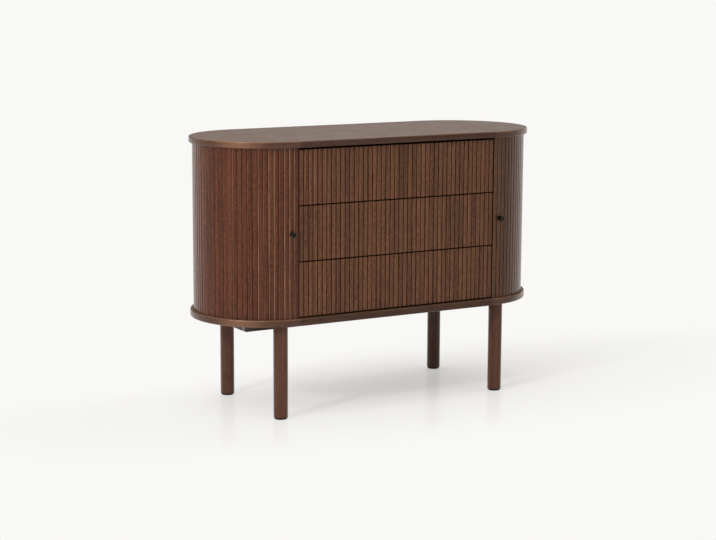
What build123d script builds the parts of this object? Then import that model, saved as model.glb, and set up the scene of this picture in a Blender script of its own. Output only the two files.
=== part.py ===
from build123d import *

import os
from math import ceil, cos, degrees, radians, sin, sqrt

# A sideboard chest with half-round ends: three slatted drawers in the flat middle, a sliding
# slatted (tambour) door round each end, two boards and four round legs.
# Origin on the floor under the middle of the boards, +X to the right, +Y to the back, +Z up.

# Driving dimensions in millimetres

# Overall form
straight_length = 660.0  # flat middle between the two end curves
board_depth = 440.0  # depth of both boards, twice the radius of their ends
overall_height = 800.0
front_heading = 270.0  # the way to the front, in degrees round from +X
top_thickness = 18.0
base_thickness = 20.0
board_arris = 3.0  # rounding along the boards' edges

# Legs and underframe
leg_height = 275.0  # floor to the underside of the base board
leg_diameter = 42.0
leg_outboard = 41.0  # leg centre beyond the end of the flat middle
leg_setback = 47.0  # leg centre in from the front or rear edge of the boards
leg_foot_radius = 3.0
glide_diameter = 36.0
glide_height = 3.0
glide_spigot_diameter = 6.0
glide_spigot_length = 12.0
stud_diameter = 8.0
stud_in_leg = 30.0
insert_diameter = 12.0
insert_length = 14.0
underframe_overhang = 110.0  # underframe beyond each end of the flat middle
underframe_width = 180.0
underframe_height = 30.0
underframe_rail = 22.0  # thickness of its rails

# Slats, which are alike on the doors and on the drawers
slat_pitch = 15.0
slat_width = 14.2
slat_thickness = 7.5
slat_bevel = 2.0
slat_inset = 10.0  # slat faces in from the edge of the boards

# Tambour doors and their track
door_span = 119.5  # whole slats that fit in this many degrees make a door
track_depth = 6.0
track_play = 0.5  # between a slat and each wall of the track
door_lift = 0.3  # slat ends above the floor of the lower track
door_headroom = 1.0  # slat ends below the floor of the upper track
canvas_thickness = 0.8
canvas_margin = 5.0  # canvas stops this far from the boards
lead_rail_slats = 2
lead_rail_thickness = 6.0
knob_slat = 1  # the slat that carries the knob, counted from 0 at the drawers
knob_diameter = 15.0
knob_length = 18.0
knob_edge_radius = 2.0
knob_neck_diameter = 12.0
knob_neck_length = 3.0
knob_screw_diameter = 4.0
knob_screw_grip = 11.0  # screw inside the knob
knob_screw_head_diameter = 9.0
knob_screw_head_height = 2.5

# Carcass
partition_thickness = 16.0
panel_thickness = 6.0  # bent liners, inner back and outer back
liner_margin = 2.5  # between the track and the liners inside it
back_margin = 1.0  # between the track and the outer back behind it
liner_lap = 3.0  # degrees of liner behind the closed door's last slat
shelf_thickness = 14.0
shelf_gap = 13.5  # round edge of a shelf to the lead rail that slides past it
shelf_housing = 5.0  # depth of the partition's groove for the shelf
shelf_pin_diameter = 5.0
shelf_pin_reach = 8.0  # pin under the shelf
shelf_pin_in_liner = 4.0
shelf_pin_turns = (135.0, 165.0)  # degrees round from the front
dowel_diameter = 8.0
dowel_in_board = 10.0
dowel_in_partition = 20.0
dowel_spread = 130.0  # outer dowels from the middle one

# Drawers
drawer_names = ("bottom", "middle", "top")
side_gap = 2.0  # between a drawer front and the door beside it
drawer_gap = 3.5  # between two drawer fronts
gap_over_base = 4.5
gap_under_top = 6.0
front_thickness = 12.5
front_play = 1.5  # closed front to the partitions' edges
drawer_board = 12.0  # sides and back
drawer_side_height = 120.0
drawer_side_rise = 12.0  # drawer sides above the lower edge of the front
bottom_thickness = 5.0
bottom_rise = 10.0  # bottom panel above the lower edge of the sides
bottom_housing = 5.0  # depth of the grooves that hold the bottom panel

# Telescopic runners, three nested channels on each side of a drawer
runner_width = 12.7
runner_height = 45.0
runner_length = 330.0
runner_metal = 1.2
runner_setback = 2.5  # runners behind the partitions' front edges

# Push latches between the drawers and the inner back
latch_width = 18.0
latch_height = 14.0
latch_length = 40.0
latch_end_wall = 3.0
plunger_diameter = 8.0
plunger_stroke = 3.0
plunger_tip_radius = 1.0

# Clearances
skin_gap = 0.1  # curved faces that are glued or pushed together, and plugs in holes
plunger_fit = 0.08  # radial, plunger in its bore
running_gap = 0.3  # faces that slide past each other, and stops
end_room = 0.5  # holes deeper than what they hold, and strokes

# Levels and radii that follow

board_radius = board_depth / 2
slat_radius = board_radius - slat_inset
half_straight = straight_length / 2
left_centre = (-half_straight, 0)
base_top = leg_height + base_thickness
top_underside = overall_height - top_thickness
inside_height = top_underside - base_top
middle_level = (base_top + top_underside) / 2

track_outer = slat_radius + track_play
track_inner = slat_radius - slat_thickness - track_play
canvas_outer = slat_radius - slat_thickness - skin_gap
canvas_inner = canvas_outer - canvas_thickness
lead_rail_outer = canvas_inner - skin_gap
lead_rail_inner = lead_rail_outer - lead_rail_thickness
liner_outer = track_inner - liner_margin
liner_inner = liner_outer - panel_thickness

slat_angle = degrees(slat_pitch / slat_radius)
door_slats = int(door_span / slat_angle)
door_start = degrees(side_gap / 2 / slat_radius)
door_end = door_start + door_slats * slat_angle
knob_turn = door_start + (knob_slat + 0.5) * slat_angle

partition_inner = half_straight - partition_thickness / 2
partition_outer = half_straight + partition_thickness / 2
front_back_face = -slat_radius + slat_thickness + front_thickness
partition_front = front_back_face + front_play
partition_rear = sqrt(liner_inner**2 - (partition_thickness / 2) ** 2) - running_gap

drawer_half = partition_inner - runner_width
drawer_rear = liner_inner - latch_length - plunger_stroke - end_room
front_height = (
    inside_height - gap_over_base - gap_under_top - (len(drawer_names) - 1) * drawer_gap
) / len(drawer_names)
front_width = straight_length - side_gap

os.makedirs("parts", exist_ok=True)


def save(builder, name):
    """Label a finished piece and write it under the name of its node"""
    builder.part.label = name
    export_step(builder.part, f"parts/{name}.step")


def save_mirrored(builder, name):
    """The matching piece of the right side, mirrored from the left one"""
    with BuildPart() as twin:
        mirror(builder.part, about=Plane.YZ)
    save(twin, name)


def on_curve(radius, turn):
    """A point of the left end curve, turned round from the front in degrees"""
    return (-half_straight - radius * sin(radians(turn)), -radius * cos(radians(turn)))


def curve_plane(radius, turn, level):
    """A plane on the left end curve that faces outwards, its Y axis pointing up"""
    x, y = on_curve(radius, turn)
    outward = (-sin(radians(turn)), -cos(radians(turn)), 0)
    return Plane(origin=(x, y, level), x_dir=(cos(radians(turn)), -sin(radians(turn)), 0), z_dir=outward)


def curved_plan(inner, outer, start, end, level):
    """Plan of a wall that follows the left end curve between two turns from the front"""
    with BuildSketch(Plane.XY.offset(level)) as plan:
        with BuildLine():
            outer_arc = CenterArc(left_centre, outer, front_heading - end, end - start)
            inner_arc = CenterArc(left_centre, inner, front_heading - end, end - start)
            Line(outer_arc @ 0, inner_arc @ 0)
            Line(outer_arc @ 1, inner_arc @ 1)
        make_face()
    return plan.sketch


def board_plan(level):
    """Outline of the top and base boards"""
    with BuildSketch(Plane.XY.offset(level)) as plan:
        SlotCenterToCenter(straight_length, board_depth)
    return plan.sketch


def track_plan(level):
    """The doors' track: round the left end, straight along the rear and round the right end"""
    with BuildSketch(Plane.XY.offset(level)) as plan:
        SlotCenterToCenter(straight_length, 2 * track_outer)
        SlotCenterToCenter(straight_length, 2 * track_inner, mode=Mode.SUBTRACT)
        Rectangle(straight_length, board_depth, align=(Align.CENTER, Align.MAX), mode=Mode.SUBTRACT)
    return plan.sketch


# Places that more than one piece shares

leg_places = GridLocations(
    2 * (half_straight + leg_outboard), board_depth - 2 * leg_setback, 2, 2
).locations
dowel_places = GridLocations(straight_length, dowel_spread, 2, 3).locations

# The plan of one slat: its face on the local Y axis, pointing along +X
with BuildSketch() as slat_plan:
    Rectangle(slat_thickness, slat_width, align=(Align.MAX, Align.CENTER))
    chamfer(slat_plan.vertices().group_by(Axis.X)[-1], slat_bevel)

# Boards

with BuildPart() as top_panel:
    extrude(board_plan(top_underside), amount=top_thickness)
    fillet(top_panel.faces().sort_by(Axis.Z)[-1].edges(), board_arris)
    fillet(top_panel.faces().sort_by(Axis.Z)[0].edges(), board_arris)
    extrude(track_plan(top_underside), amount=track_depth, mode=Mode.SUBTRACT)
    with BuildSketch(Plane.XY.offset(top_underside)):
        with Locations(dowel_places):
            Circle(dowel_diameter / 2 + skin_gap)
    extrude(amount=dowel_in_board + end_room, mode=Mode.SUBTRACT)
save(top_panel, "top_panel")

with BuildPart() as base_panel:
    extrude(board_plan(leg_height), amount=base_thickness)
    fillet(base_panel.faces().sort_by(Axis.Z)[-1].edges(), board_arris)
    fillet(base_panel.faces().sort_by(Axis.Z)[0].edges(), board_arris)
    extrude(track_plan(base_top), amount=-track_depth, mode=Mode.SUBTRACT)
    with BuildSketch(Plane.XY.offset(base_top)):
        with Locations(dowel_places):
            Circle(dowel_diameter / 2 + skin_gap)
    extrude(amount=-dowel_in_board - end_room, mode=Mode.SUBTRACT)
    with BuildSketch(Plane.XY.offset(leg_height)):
        with Locations(leg_places):
            Circle(insert_diameter / 2 + skin_gap)
    extrude(amount=insert_length + end_room, mode=Mode.SUBTRACT)
save(base_panel, "base_panel")

# Partitions between the drawers and the end compartments, with a stopped groove for the shelf

shelf_radius = lead_rail_inner - shelf_gap
shelf_level = middle_level - shelf_thickness / 2

with BuildPart() as left_partition:
    with BuildSketch(Plane.XY.offset(base_top)):
        with Locations((-half_straight, partition_front)):
            Rectangle(
                partition_thickness, partition_rear - partition_front, align=(Align.CENTER, Align.MIN)
            )
    extrude(amount=inside_height)
    with BuildSketch(Plane.XY.offset(shelf_level - skin_gap)):
        with Locations((-partition_outer, 0)):
            Rectangle(
                shelf_housing + skin_gap, 2 * shelf_radius, align=(Align.MIN, Align.CENTER)
            )
    extrude(amount=shelf_thickness + 2 * skin_gap, mode=Mode.SUBTRACT)
    for level, sink in ((base_top, 1), (top_underside, -1)):
        with BuildSketch(Plane.XY.offset(level)):
            with Locations(dowel_places):
                Circle(dowel_diameter / 2 + skin_gap)
        extrude(amount=sink * (dowel_in_partition + end_room), mode=Mode.SUBTRACT)
save(left_partition, "left_partition")
save_mirrored(left_partition, "right_partition")

with BuildPart() as carcass_dowels:
    for level in (base_top - dowel_in_board, top_underside - dowel_in_partition):
        with BuildSketch(Plane.XY.offset(level)):
            with Locations(dowel_places):
                Circle(dowel_diameter / 2)
        extrude(amount=dowel_in_board + dowel_in_partition)
save(carcass_dowels, "carcass_dowels")

# Inner back and its bent liners, which the doors slide outside of, and the outer back

with BuildPart() as inner_back_panel:
    with BuildSketch(Plane.XY.offset(base_top)):
        with Locations((0, liner_inner)):
            Rectangle(straight_length, panel_thickness, align=(Align.CENTER, Align.MIN))
    extrude(amount=inside_height)
save(inner_back_panel, "inner_back_panel")

shelf_pin_level = shelf_level - shelf_pin_diameter / 2 - skin_gap / 2
shelf_pin_tip = liner_inner + shelf_pin_in_liner

with BuildPart() as left_rear_liner:
    extrude(
        curved_plan(liner_inner, liner_outer, door_end - liner_lap, 180, base_top),
        amount=inside_height,
    )
    for turn in shelf_pin_turns:
        with BuildSketch(curve_plane(shelf_radius, turn, shelf_pin_level)):
            Circle(shelf_pin_diameter / 2 + skin_gap)
        extrude(amount=shelf_pin_tip + end_room - shelf_radius, mode=Mode.SUBTRACT)
save(left_rear_liner, "left_rear_liner")
save_mirrored(left_rear_liner, "right_rear_liner")

with BuildPart() as back_panel:
    with BuildSketch(Plane.XY.offset(base_top)):
        with Locations((0, track_outer + back_margin)):
            Rectangle(straight_length, panel_thickness, align=(Align.CENTER, Align.MIN))
    extrude(amount=inside_height)
save(back_panel, "back_panel")

# Shelves in the end compartments, on pins at the rear and in the partitions' grooves

with BuildPart() as left_shelf:
    with BuildSketch(Plane.XY.offset(shelf_level)):
        with Locations(left_centre):
            Circle(shelf_radius - skin_gap)
        with Locations((-partition_outer + shelf_housing, 0)):
            Rectangle(
                2 * shelf_radius,
                2 * shelf_radius,
                align=(Align.MAX, Align.CENTER),
                mode=Mode.INTERSECT,
            )
    extrude(amount=shelf_thickness)
save(left_shelf, "left_shelf")
save_mirrored(left_shelf, "right_shelf")

with BuildPart() as shelf_pins:
    for turn in shelf_pin_turns:
        with BuildSketch(curve_plane(shelf_radius - shelf_pin_reach, turn, shelf_pin_level)):
            Circle(shelf_pin_diameter / 2)
        extrude(amount=shelf_pin_tip - shelf_radius + shelf_pin_reach)
    mirror(about=Plane.YZ)
save(shelf_pins, "shelf_pins")

# Legs: the stud of each screws into a threaded insert in the base board

for name, place in zip(
    ("rear_left_leg", "front_left_leg", "rear_right_leg", "front_right_leg"),
    sorted(leg_places, key=lambda spot: (spot.position.X, -spot.position.Y)),
):
    with BuildPart() as leg:
        with BuildSketch(Plane.XY.offset(glide_height)):
            with Locations(place):
                Circle(leg_diameter / 2)
        extrude(amount=leg_height - glide_height)
        fillet(leg.faces().sort_by(Axis.Z)[0].edges(), leg_foot_radius)
        with BuildSketch(Plane.XY.offset(leg_height)):
            with Locations(place):
                Circle(stud_diameter / 2 + skin_gap)
        extrude(amount=-stud_in_leg - end_room, mode=Mode.SUBTRACT)
        with BuildSketch(Plane.XY.offset(glide_height)):
            with Locations(place):
                Circle(glide_spigot_diameter / 2 + skin_gap)
        extrude(amount=glide_spigot_length + end_room, mode=Mode.SUBTRACT)
    save(leg, name)

with BuildPart() as leg_studs:
    with BuildSketch(Plane.XY.offset(leg_height - stud_in_leg)):
        with Locations(leg_places):
            Circle(stud_diameter / 2)
    extrude(amount=stud_in_leg + insert_length)
save(leg_studs, "leg_studs")

with BuildPart() as leg_inserts:
    with BuildSketch(Plane.XY.offset(leg_height)):
        with Locations(leg_places):
            Circle(insert_diameter / 2)
            Circle(stud_diameter / 2 + skin_gap, mode=Mode.SUBTRACT)
    extrude(amount=insert_length)
save(leg_inserts, "leg_inserts")

with BuildPart() as leg_glides:
    with BuildSketch():
        with Locations(leg_places):
            Circle(glide_diameter / 2)
    extrude(amount=glide_height)
    fillet(leg_glides.faces().group_by(Axis.Z)[0].edges(), glide_height / 3)
    with BuildSketch(Plane.XY.offset(glide_height)):
        with Locations(leg_places):
            Circle(glide_spigot_diameter / 2)
    extrude(amount=glide_spigot_length)
save(leg_glides, "leg_glides")

# Underframe: two long rails and two cross rails under the base board

underframe_length = straight_length + 2 * underframe_overhang

with BuildPart() as underframe_long_rails:
    with BuildSketch(Plane.XY.offset(leg_height)):
        with GridLocations(1, underframe_width - underframe_rail, 1, 2):
            Rectangle(underframe_length, underframe_rail)
    extrude(amount=-underframe_height)
save(underframe_long_rails, "underframe_long_rails")

with BuildPart() as underframe_cross_rails:
    with BuildSketch(Plane.XY.offset(leg_height)):
        with GridLocations(underframe_length - underframe_rail, 1, 2, 1):
            Rectangle(underframe_rail, underframe_width - 2 * underframe_rail)
    extrude(amount=-underframe_height)
save(underframe_cross_rails, "underframe_cross_rails")

# Tambour doors. The knob's screw comes from inside, through lead rail, canvas and slat

slat_foot = base_top - track_depth + door_lift
slat_head = top_underside + track_depth - door_headroom


def knob_hole(radius):
    """A round sketch on the knob's axis, at the face of its slat"""
    with BuildSketch(curve_plane(slat_radius, knob_turn, middle_level)) as hole:
        Circle(radius)
    return hole.sketch


screw_hole = knob_hole(knob_screw_diameter / 2 + skin_gap)
screw_depth = slat_radius - lead_rail_inner + end_room

with BuildPart() as left_door_slats:
    with BuildSketch(Plane.XY.offset(slat_foot)):
        with Locations(left_centre):
            with PolarLocations(
                slat_radius,
                door_slats,
                start_angle=front_heading - door_start - slat_angle / 2,
                angular_range=-door_slats * slat_angle,
            ):
                add(slat_plan.sketch)
    extrude(amount=slat_head - slat_foot)
    extrude(screw_hole, amount=-screw_depth, mode=Mode.SUBTRACT)
save(left_door_slats, "left_door_slats")
save_mirrored(left_door_slats, "right_door_slats")

with BuildPart() as left_door_canvas:
    extrude(
        curved_plan(canvas_inner, canvas_outer, door_start, door_end, base_top + canvas_margin),
        amount=inside_height - 2 * canvas_margin,
    )
    extrude(screw_hole, amount=-screw_depth, mode=Mode.SUBTRACT)
save(left_door_canvas, "left_door_canvas")
save_mirrored(left_door_canvas, "right_door_canvas")

with BuildPart() as left_lead_rail:
    extrude(
        curved_plan(
            lead_rail_inner,
            lead_rail_outer,
            door_start,
            door_start + lead_rail_slats * slat_angle,
            base_top + canvas_margin,
        ),
        amount=inside_height - 2 * canvas_margin,
    )
    extrude(screw_hole, amount=-screw_depth, mode=Mode.SUBTRACT)
save(left_lead_rail, "left_lead_rail")
save_mirrored(left_lead_rail, "right_lead_rail")

with BuildPart() as left_knob:
    extrude(knob_hole(knob_neck_diameter / 2), amount=knob_neck_length)
    with BuildSketch(curve_plane(slat_radius + knob_neck_length, knob_turn, middle_level)):
        Circle(knob_diameter / 2)
    extrude(amount=knob_length - knob_neck_length)
    knob_face = left_knob.faces().sort_by(
        Axis((0, 0, 0), curve_plane(slat_radius, knob_turn, middle_level).z_dir)
    )[-1]
    fillet(knob_face.edges(), knob_edge_radius)
    extrude(screw_hole, amount=knob_screw_grip + end_room, mode=Mode.SUBTRACT)
save(left_knob, "left_knob")
save_mirrored(left_knob, "right_knob")

with BuildPart() as left_knob_screw:
    with BuildSketch(curve_plane(lead_rail_inner - skin_gap, knob_turn, middle_level)):
        Circle(knob_screw_diameter / 2)
    extrude(amount=slat_radius + knob_screw_grip - lead_rail_inner + skin_gap)
    with BuildSketch(curve_plane(lead_rail_inner - skin_gap, knob_turn, middle_level)):
        Circle(knob_screw_head_diameter / 2)
    extrude(amount=-knob_screw_head_height)
save(left_knob_screw, "left_knob_screw")
save_mirrored(left_knob_screw, "right_knob_screw")

# Telescopic runners. Each member is a channel on its side, nested in the next larger one


def runner_pair(web, flange_end, height, level):
    """One channel on each side of a drawer: its web and flange ends are measured from the partition"""
    shell = min(web, flange_end)
    depth = abs(flange_end - web)
    with BuildPart() as pair:
        with BuildSketch(Plane.XZ.offset(-partition_front - runner_setback)):
            with Locations((-partition_inner + shell, level)):
                Rectangle(depth, height, align=(Align.MIN, Align.CENTER))
            hollow = shell + runner_metal if web < flange_end else shell
            with Locations((-partition_inner + hollow, level)):
                Rectangle(
                    depth - runner_metal,
                    height - 2 * runner_metal,
                    align=(Align.MIN, Align.CENTER),
                    mode=Mode.SUBTRACT,
                )
        extrude(amount=-runner_length)
        mirror(about=Plane.YZ)
    return pair


middle_height = runner_height - 2 * (runner_metal + running_gap)
inner_height = middle_height - 2 * (runner_metal + running_gap)
middle_web = runner_metal + running_gap
inner_flange = middle_web + runner_metal + running_gap
outer_flange = runner_width - runner_metal - 2 * running_gap

front_levels = [
    base_top + gap_over_base + row * (front_height + drawer_gap) for row in range(len(drawer_names))
]
runner_rise = drawer_side_rise + drawer_side_height / 2

with BuildPart() as cabinet_runners:
    for level in front_levels:
        add(runner_pair(0, outer_flange, runner_height, level + runner_rise).part)
save(cabinet_runners, "cabinet_runners")

# Push latches: a block on the inner back for each drawer, with a sprung plunger in it

latch_front = liner_inner - latch_length

with BuildPart() as latch_housings:
    with BuildSketch(Plane.XZ.offset(-latch_front)):
        with Locations([(0, level + runner_rise) for level in front_levels]):
            Rectangle(latch_width, latch_height)
    extrude(amount=-latch_length)
    with BuildSketch(Plane.XZ.offset(-latch_front)):
        with Locations([(0, level + runner_rise) for level in front_levels]):
            Circle(plunger_diameter / 2 + plunger_fit)
    extrude(amount=-(latch_length - latch_end_wall), mode=Mode.SUBTRACT)
save(latch_housings, "latch_housings")

# Drawers

box_inner = drawer_half - drawer_board
groove_foot = drawer_side_rise + bottom_rise - skin_gap
panel_half = box_inner + bottom_housing - skin_gap

for name, level in zip(drawer_names, front_levels):
    side_level = level + drawer_side_rise

    # The groove that runs round inside the box, cut from the front, the sides and the back
    with BuildPart() as bottom_groove:
        with BuildSketch(Plane.XY.offset(level + groove_foot)):
            with Locations((0, front_back_face - bottom_housing)):
                Rectangle(
                    2 * (box_inner + bottom_housing),
                    drawer_rear - drawer_board - front_back_face + 2 * bottom_housing,
                    align=(Align.CENTER, Align.MIN),
                )
        extrude(amount=bottom_thickness + 2 * skin_gap)

    with BuildPart() as drawer_front:
        with BuildSketch(Plane.XY.offset(level)):
            with Locations((0, front_back_face)):
                Rectangle(front_width, front_thickness, align=(Align.CENTER, Align.MAX))
        extrude(amount=front_height)
        add(bottom_groove.part, mode=Mode.SUBTRACT)
    save(drawer_front, f"{name}_drawer_front")

    with BuildPart() as drawer_slats:
        with BuildSketch(Plane.XY.offset(level)):
            with Locations((0, -slat_radius)):
                with GridLocations(slat_pitch, 1, 2 * ceil(front_width / slat_pitch / 2), 1):
                    add(slat_plan.sketch, rotation=-90)
            Rectangle(front_width, 2 * slat_radius, mode=Mode.INTERSECT)
        extrude(amount=front_height)
    save(drawer_slats, f"{name}_drawer_slats")

    with BuildPart() as left_side:
        with BuildSketch(Plane.XY.offset(side_level)):
            with Locations((-drawer_half, front_back_face)):
                Rectangle(
                    drawer_board, drawer_rear - front_back_face, align=(Align.MIN, Align.MIN)
                )
        extrude(amount=drawer_side_height)
        add(bottom_groove.part, mode=Mode.SUBTRACT)
    save(left_side, f"{name}_drawer_left_side")
    save_mirrored(left_side, f"{name}_drawer_right_side")

    with BuildPart() as drawer_back:
        with BuildSketch(Plane.XY.offset(side_level)):
            with Locations((0, drawer_rear)):
                Rectangle(2 * box_inner, drawer_board, align=(Align.CENTER, Align.MAX))
        extrude(amount=drawer_side_height)
        add(bottom_groove.part, mode=Mode.SUBTRACT)
    save(drawer_back, f"{name}_drawer_back")

    with BuildPart() as drawer_bottom:
        with BuildSketch(Plane.XY.offset(side_level + bottom_rise)):
            with Locations((0, front_back_face - bottom_housing + skin_gap)):
                Rectangle(
                    2 * panel_half,
                    drawer_rear - drawer_board - front_back_face + 2 * (bottom_housing - skin_gap),
                    align=(Align.CENTER, Align.MIN),
                )
        extrude(amount=bottom_thickness)
    save(drawer_bottom, f"{name}_drawer_bottom")

    runner_level = level + runner_rise
    save(
        runner_pair(middle_web, outer_flange - running_gap, middle_height, runner_level),
        f"{name}_runner_middles",
    )
    save(
        runner_pair(runner_width, inner_flange, inner_height, runner_level),
        f"{name}_drawer_runners",
    )

    with BuildPart() as latch_plunger:
        with BuildSketch(Plane.XZ.offset(-drawer_rear - running_gap)):
            with Locations((0, runner_level)):
                Circle(plunger_diameter / 2)
        extrude(
            amount=-(
                latch_front
                + latch_length
                - latch_end_wall
                - plunger_stroke
                - end_room
                - drawer_rear
                - running_gap
            )
        )
        fillet(latch_plunger.faces().sort_by(Axis.Y)[0].edges(), plunger_tip_radius)
    save(latch_plunger, f"{name}_latch_plunger")

# Travels that follow from the sizes

print(f"Door: {door_slats} slats, {door_start:.2f} to {door_end:.2f} degrees, knob at {knob_turn:.2f}")
print(f"Drawer fronts {front_height:.2f} high, boxes {drawer_rear - front_back_face:.1f} long")
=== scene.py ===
import logging
from dataclasses import dataclass, replace
from enum import Enum
from functools import lru_cache
from math import cos, pi, radians, sin
from random import Random
from typing import Any, Callable

import bmesh
import bpy
from bmesh.types import BMesh, BMEdge, BMFace, BMVert
from bpy.types import Material, Mesh, Node, NodeTree, Object
from mathutils import Matrix, Vector


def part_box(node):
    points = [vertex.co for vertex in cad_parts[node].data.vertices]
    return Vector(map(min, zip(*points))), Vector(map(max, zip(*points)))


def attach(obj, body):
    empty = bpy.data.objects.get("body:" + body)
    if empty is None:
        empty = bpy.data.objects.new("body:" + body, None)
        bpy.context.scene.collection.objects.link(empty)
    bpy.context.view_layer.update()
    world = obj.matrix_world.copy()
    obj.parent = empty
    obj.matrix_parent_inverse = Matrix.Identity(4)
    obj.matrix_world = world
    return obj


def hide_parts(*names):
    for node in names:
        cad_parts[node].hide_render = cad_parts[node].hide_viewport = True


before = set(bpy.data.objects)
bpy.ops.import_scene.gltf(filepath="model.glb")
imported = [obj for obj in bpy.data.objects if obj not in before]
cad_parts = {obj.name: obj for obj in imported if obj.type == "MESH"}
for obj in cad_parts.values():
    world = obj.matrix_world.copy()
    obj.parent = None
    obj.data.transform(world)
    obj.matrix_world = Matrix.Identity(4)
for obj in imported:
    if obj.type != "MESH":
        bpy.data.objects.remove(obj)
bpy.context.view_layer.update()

# The looks of a sideboard chest with half-round ends, in metres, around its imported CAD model.

log = logging.getLogger("chest_of_drawers")

Socket = bpy.types.NodeSocket
Colour = tuple[float, float, float]
Triple = tuple[float, float, float]
Span = tuple[float, float]

MERGE = 1e-6  # points nearer than this are one
SMOOTH_UNDER = radians(40)  # edges that turn less than this are shaded smooth
SHARP_OVER = radians(50)  # edges that turn more than this are rounded over
FLAT_UNDER = radians(0.5)  # a copied face that turns less than this is one with its neighbour
NUMBER = "board_number"  # each board's own random number, 0 to 1
ARRIS = "arris"  # 1 on a rounded edge, where paler scuffed edges go, on slats and boards also a painted highlight; -1 deep in the grooves between slats, at slat ends and round leg feet, where shade is painted; 0 elsewhere
WEAVE = "weave"  # the canvas's UV map, in metres


def seen(*screen: float) -> Colour:
    """Turn a colour as a screen shows it, 0 to 255, into the shader's linear one."""
    shares = (value / 255 for value in screen)
    return tuple(v / 12.92 if v <= 0.04045 else ((v + 0.055) / 1.055) ** 2.4 for v in shares)


# Node building


class Graph:
    """Adds nodes to one node tree and joins them."""

    def __init__(self, tree: NodeTree) -> None:
        """Start with the node tree of a material, a world or a group, and empty it."""
        self.tree = tree
        tree.nodes.clear()

    def add(self, kind: str, feeds: dict[Any, Any] | None = None, **settings: Any) -> Node:
        """Add a node.

        Args:
            kind: The node's type, without its ShaderNode prefix.
            feeds: What goes into its inputs, by name or place: a socket or a value.
            **settings: The node's own properties.

        Returns:
            The new node.
        """
        node = self.tree.nodes.new(kind if kind.startswith("NodeGroup") else "ShaderNode" + kind)
        for name, value in settings.items():
            setattr(node, name, value)
        for name, value in (feeds or {}).items():
            self.feed(node.inputs[name], value)
        return node

    def feed(self, socket: Socket, value: Any) -> None:
        """Join a socket to an input, or set the input's value.

        Args:
            socket: The input.
            value: An output socket, a number, a vector or a colour of three or four numbers.
        """
        if isinstance(value, Socket):
            self.tree.links.new(value, socket)
        elif socket.type == "RGBA":
            socket.default_value = (*value[:3], 1)
        else:
            socket.default_value = value

    def sum(self, operation: str, *values: Any) -> Socket:
        """Work out a number with one of the Math node's operations."""
        return self.add("Math", dict(enumerate(values)), operation=operation).outputs[0]

    def vector(self, operation: str, *values: Any) -> Socket:
        """Work out a vector.

        Args:
            operation: The Vector Math node's operation.
            *values: Its inputs; for SCALE a vector and a number.

        Returns:
            The result.
        """
        feeds = dict(enumerate(values))
        if operation == "SCALE":
            feeds = {0: values[0], "Scale": values[1]}
        return self.add("VectorMath", feeds, operation=operation).outputs[0]

    def length(self, value: Socket) -> Socket:
        """Work out a vector's length."""
        return self.add("VectorMath", {0: value}, operation="LENGTH").outputs["Value"]

    def reach(self, ray: Socket, side: Triple) -> Socket:
        """Say how far a direction points to one side: 1 straight that way, -1 straight away."""
        return self.add("VectorMath", {0: ray, 1: side}, operation="DOT_PRODUCT").outputs["Value"]

    def parts(self, value: Socket) -> Any:
        """Split a vector or a colour into its three parts."""
        return self.add("SeparateXYZ", {0: value}).outputs

    def place(self) -> Socket:
        """Read the point's Object coordinates, in metres."""
        return self.add("TexCoord").outputs["Object"]

    def marked(self, attribute: str) -> Socket:
        """Read one of the numbers that the shape's points hold."""
        return self.add("Attribute", attribute_name=attribute).outputs["Fac"]

    def bump(self, height: Socket, distance: float) -> Socket:
        """Turn a height of 0 to 1, over a distance in metres, into a normal."""
        return self.add("Bump", {"Height": height, "Distance": distance}).outputs[0]

    def ease(self, value: Socket, low: float, high: float, start: float = 0, end: float = 1) -> Socket:
        """Turn the range from low to high into the one from start to end, with soft ends."""
        feeds = {0: value, 1: low, 2: high, 3: start, 4: end}
        return self.add("MapRange", feeds, interpolation_type="SMOOTHSTEP").outputs[0]

    def choice(self, share: Any, without: Any, whole: Any) -> Socket:
        """Go from one number at a share of 0 to another at 1."""
        return self.add("Mix", {0: share, 2: without, 3: whole}, data_type="FLOAT").outputs[0]

    def blend(self, under: Any, over: Any, share: Any) -> Socket:
        """Go from one colour at a share of 0 to another at 1."""
        return self.add("Mix", {0: share, 6: under, 7: over}, data_type="RGBA").outputs[2]

    def noise(self, place: Socket, stretch: Triple, detail: float) -> Socket:
        """Work out noise with its own waves per metre on each axis, and octaves of finer noise."""
        feeds = {"Vector": self.vector("MULTIPLY", place, stretch), "Scale": 1.0, "Detail": detail}
        return self.add("TexNoise", feeds).outputs[0]

    def group(self, shared: "SharedGroup", feeds: dict[str, Any]) -> Any:
        """Place a shared node group, feed its named inputs, and get its outputs."""
        return self.add("Group", feeds, node_tree=shared.tree()).outputs


@dataclass(eq=False)
class SharedGroup:
    """A shader node group that is built once and placed with each material's own values."""

    inputs: dict[str, str]  # each socket's name and kind, such as Float or Vector
    outputs: dict[str, str]
    fill: Callable[[Graph, dict[str, Socket]], dict[str, Socket]]  # works out the outputs

    @lru_cache
    def tree(self) -> NodeTree:
        """Build the group the first time it is asked for.

        Returns:
            The group, named after the function that fills it.
        """
        tree = bpy.data.node_groups.new(self.fill.__name__, "ShaderNodeTree")
        for side, sockets in (("INPUT", self.inputs), ("OUTPUT", self.outputs)):
            for socket, kind in sockets.items():
                tree.interface.new_socket(name=socket, in_out=side, socket_type="NodeSocket" + kind)
        graph = Graph(tree)
        entry = graph.add("NodeGroupInput").outputs
        result = graph.add("NodeGroupOutput").inputs
        for name, value in self.fill(graph, {name: entry[name] for name in self.inputs}).items():
            graph.feed(result[name], value)
        return tree


BOARD_SHIFT = (1.37, 2.11, 5.73)  # metres between the figures of boards numbered 0 and 1
RING_SCALE = 0.314  # makes the wave's scale one ring per spacing

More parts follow.
